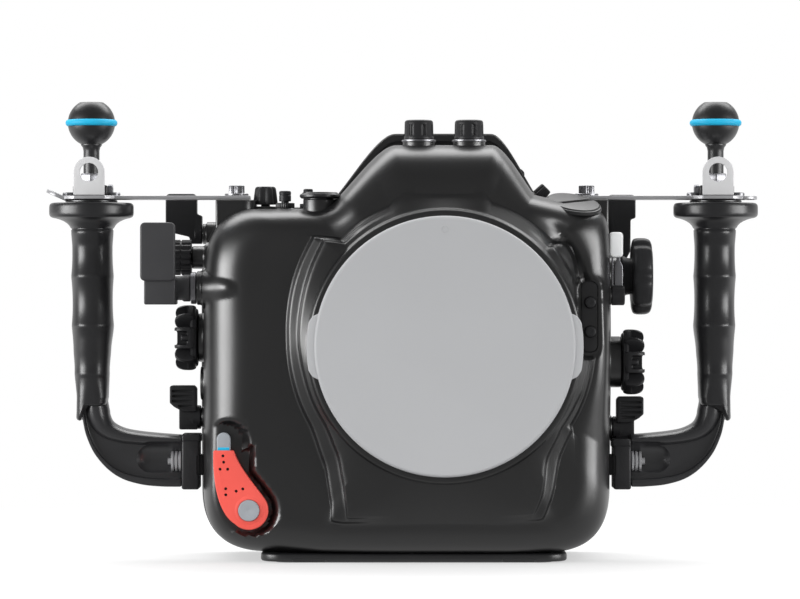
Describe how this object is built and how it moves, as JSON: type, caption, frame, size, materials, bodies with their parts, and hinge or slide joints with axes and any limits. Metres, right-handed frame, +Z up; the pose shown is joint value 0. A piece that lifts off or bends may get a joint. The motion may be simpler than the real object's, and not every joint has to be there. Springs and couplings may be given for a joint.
{
  "type": "underwater camera housing",
  "caption": "Two-shell underwater camera housing with a capped round lens port, side handles with ball mounts, sealed knobs, levers and buttons, and latches that hold the rear shell.",
  "frame": {"origin": "on the underside of the base plate, midway between the two grips' axes", "axes": "+Z up, -Y out of the lens port towards the subject, +X to the right of someone who looks at the port"},
  "size_m": [0.385, 0.1513, 0.2457],
  "materials": {
    "anodised": "satin black anodised",
    "control_plastic": "satin black moulded plastic",
    "grip_rubber": "satin black rubber",
    "cap_grey": "pale grey, fine moulded texture",
    "button_grey": "mid grey satin",
    "lever_coral": "coral red satin",
    "seal_cyan": "cyan silicone",
    "seal_black": "greased black",
    "stainless": "brushed stainless",
    "window": "polished clear",
    "circuit_board": "green lacquered board"
  },
  "bodies": {
    "housing": {"front_housing": "anodised", "rear_housing": "anodised", "base_plate": "anodised", "camera_tray": "anodised", "port_ring": "anodised", "eyepiece_tube": "anodised", "plug_left": "anodised", "plug_right": "anodised", "bulkhead_cap_left": "anodised", "bulkhead_cap_right": "anodised", "handle_core_left": "anodised", "handle_core_right": "anodised", "handle_bracket_left": "anodised", "handle_bracket_right": "anodised", "ball_mount_left": "anodised", "ball_mount_right": "anodised", "button_plate": "control_plastic", "grip_left": "grip_rubber", "grip_right": "grip_rubber", "ball_oring_left": "seal_cyan", "ball_oring_right": "seal_cyan", "main_oring": "seal_black", "arm_bolt_left": "stainless", "arm_bolt_right": "stainless", "top_strip_left": "stainless", "top_strip_right": "stainless", "strip_screw_left": "stainless", "strip_screw_right": "stainless", "shutter_bush": "stainless", "screen_window": "window", "eyepiece_lens": "window", "vacuum_board": "circuit_board"},
    "focus_drive": {"focus_knob": "control_plastic", "focus_gear": "control_plastic"},
    "knob_left": {"control_knob_left": "control_plastic"},
    "knob_right": {"control_knob_right": "control_plastic"},
    "command_dial": {"command_dial": "control_plastic"},
    "shutter_trigger": {"shutter_lever": "control_plastic"},
    "thumb_left": {"thumb_lever_left": "control_plastic"},
    "thumb_right": {"thumb_lever_right": "control_plastic"},
    "lens_lever": {"lens_lever": "control_plastic"},
    "latch_left": {"latch_left": "control_plastic"},
    "latch_right": {"latch_right": "control_plastic"},
    "port_lock": {"port_lock_lever": "lever_coral", "lock_pivot_cap": "button_grey"},
    "lock_catch": {"lock_catch": "button_grey"},
    "top_dial": {"top_dial": "control_plastic"},
    "top_button_front": {"top_button_front": "control_plastic"},
    "top_button_rear": {"top_button_rear": "control_plastic"},
    "slope_button": {"slope_button": "control_plastic"},
    "front_button_upper": {"front_button_upper": "control_plastic"},
    "front_button_lower": {"front_button_lower": "control_plastic"},
    "rear_button_focus": {"rear_button_focus": "control_plastic"},
    "rear_button_select": {"rear_button_select": "control_plastic"},
    "rear_button_menu": {"rear_button_menu": "control_plastic"},
    "rear_dial": {"rear_dial": "control_plastic"},
    "rear_joystick": {"rear_joystick": "control_plastic"},
    "viewfinder_lever": {"viewfinder_lever": "control_plastic"},
    "port_cap": {"port_cap": "cap_grey", "cap_oring": "seal_black"}
  },
  "joints": [
    {"name": "focus_turn", "type": "hinge", "parent": "housing", "child": "focus_drive", "pos_m": [0.1168, -0.004, 0.1521], "axis": [1, 0, 0], "continuous": true},
    {"name": "knob_left_turn", "type": "hinge", "parent": "housing", "child": "knob_left", "pos_m": [-0.1108, 0.002, 0.119], "axis": [-1, 0, 0], "continuous": true},
    {"name": "knob_right_turn", "type": "hinge", "parent": "housing", "child": "knob_right", "pos_m": [0.1174, 0.002, 0.1059], "axis": [1, 0, 0], "continuous": true},
    {"name": "command_dial_turn", "type": "hinge", "parent": "housing", "child": "command_dial", "pos_m": [-0.1144, 0.004, 0.1623], "axis": [-1, 0, 0], "continuous": true},
    {"name": "shutter_pull", "type": "hinge", "parent": "housing", "child": "shutter_trigger", "pos_m": [-0.1104, -0.022, 0.1457], "axis": [-1, 0, 0], "range_deg": [0, 18], "stiffness_Nm_per_rad": 0.3, "springref_deg": -6.88},
    {"name": "thumb_left_push", "type": "hinge", "parent": "housing", "child": "thumb_left", "pos_m": [-0.11, 0.033, 0.1755], "axis": [-1, 0, 0], "range_deg": [0, 14], "stiffness_Nm_per_rad": 0.3, "springref_deg": -6.88},
    {"name": "thumb_right_push", "type": "hinge", "parent": "housing", "child": "thumb_right", "pos_m": [0.113, 0.033, 0.164], "axis": [-1, 0, 0], "range_deg": [0, 14], "stiffness_Nm_per_rad": 0.3, "springref_deg": -6.88},
    {"name": "lens_lever_swing", "type": "hinge", "parent": "housing", "child": "lens_lever", "pos_m": [0.1106, -0.024, 0.1415], "axis": [1, 0, 0], "range_deg": [-15, 20]},
    {"name": "latch_left_open", "type": "hinge", "parent": "housing", "child": "latch_left", "pos_m": [-0.1092, 0.004, 0.076], "axis": [1, 0, 0], "range_deg": [0, 60]},
    {"name": "latch_right_open", "type": "hinge", "parent": "housing", "child": "latch_right", "pos_m": [0.1126, 0.004, 0.07], "axis": [1, 0, 0], "range_deg": [0, 60]},
    {"name": "port_lock_swing", "type": "hinge", "parent": "housing", "child": "port_lock", "pos_m": [-0.0817, -0.03844, 0.0282], "axis": [0, -1, 0], "range_deg": [0, 50]},
    {"name": "lock_catch_press", "type": "slide", "parent": "port_lock", "child": "lock_catch", "axis": [0, 0, -1], "range_m": [0, 0.003], "stiffness_N_per_m": 400, "springref_m": -0.0015},
    {"name": "top_dial_turn", "type": "hinge", "parent": "housing", "child": "top_dial", "pos_m": [-0.0743, -0.006, 0.1896], "axis": [0, 0, 1], "continuous": true},
    {"name": "top_button_front_press", "type": "slide", "parent": "housing", "child": "top_button_front", "axis": [0, 0, -1], "range_m": [0, 0.0015], "stiffness_N_per_m": 400, "springref_m": -0.0015},
    {"name": "top_button_rear_press", "type": "slide", "parent": "housing", "child": "top_button_rear", "axis": [0, 0, -1], "range_m": [0, 0.0015], "stiffness_N_per_m": 400, "springref_m": -0.0015},
    {"name": "slope_button_press", "type": "slide", "parent": "housing", "child": "slope_button", "axis": [-0.7071, 0, -0.7071], "range_m": [0, 0.0015], "stiffness_N_per_m": 400, "springref_m": -0.0015},
    {"name": "front_button_upper_press", "type": "slide", "parent": "housing", "child": "front_button_upper", "axis": [0, 1, 0], "range_m": [0, 0.0015], "stiffness_N_per_m": 400, "springref_m": -0.0015},
    {"name": "front_button_lower_press", "type": "slide", "parent": "housing", "child": "front_button_lower", "axis": [0, 1, 0], "range_m": [0, 0.0015], "stiffness_N_per_m": 400, "springref_m": -0.0015},
    {"name": "rear_button_focus_press", "type": "slide", "parent": "housing", "child": "rear_button_focus", "axis": [0, -1, 0], "range_m": [0, 0.0015], "stiffness_N_per_m": 400, "springref_m": -0.0015},
    {"name": "rear_button_select_press", "type": "slide", "parent": "housing", "child": "rear_button_select", "axis": [0, -1, 0], "range_m": [0, 0.0015], "stiffness_N_per_m": 400, "springref_m": -0.0015},
    {"name": "rear_button_menu_press", "type": "slide", "parent": "housing", "child": "rear_button_menu", "axis": [0, -1, 0], "range_m": [0, 0.0015], "stiffness_N_per_m": 400, "springref_m": -0.0015},
    {"name": "rear_dial_turn", "type": "hinge", "parent": "housing", "child": "rear_dial", "pos_m": [-0.0664, 0.0606, 0.069], "axis": [0, 1, 0], "continuous": true},
    {"name": "rear_joystick_press", "type": "slide", "parent": "housing", "child": "rear_joystick", "axis": [0, -1, 0], "range_m": [0, 0.0015], "stiffness_N_per_m": 400, "springref_m": -0.0015},
    {"name": "viewfinder_lever_turn", "type": "hinge", "parent": "housing", "child": "viewfinder_lever", "pos_m": [0.0621, 0.0606, 0.187], "axis": [0, 1, 0], "range_deg": [-25, 25]},
    {"name": "port_cap_pull", "type": "slide", "parent": "housing", "child": "port_cap", "axis": [0, -1, 0], "range_m": [0, 0.03]}
  ]
}
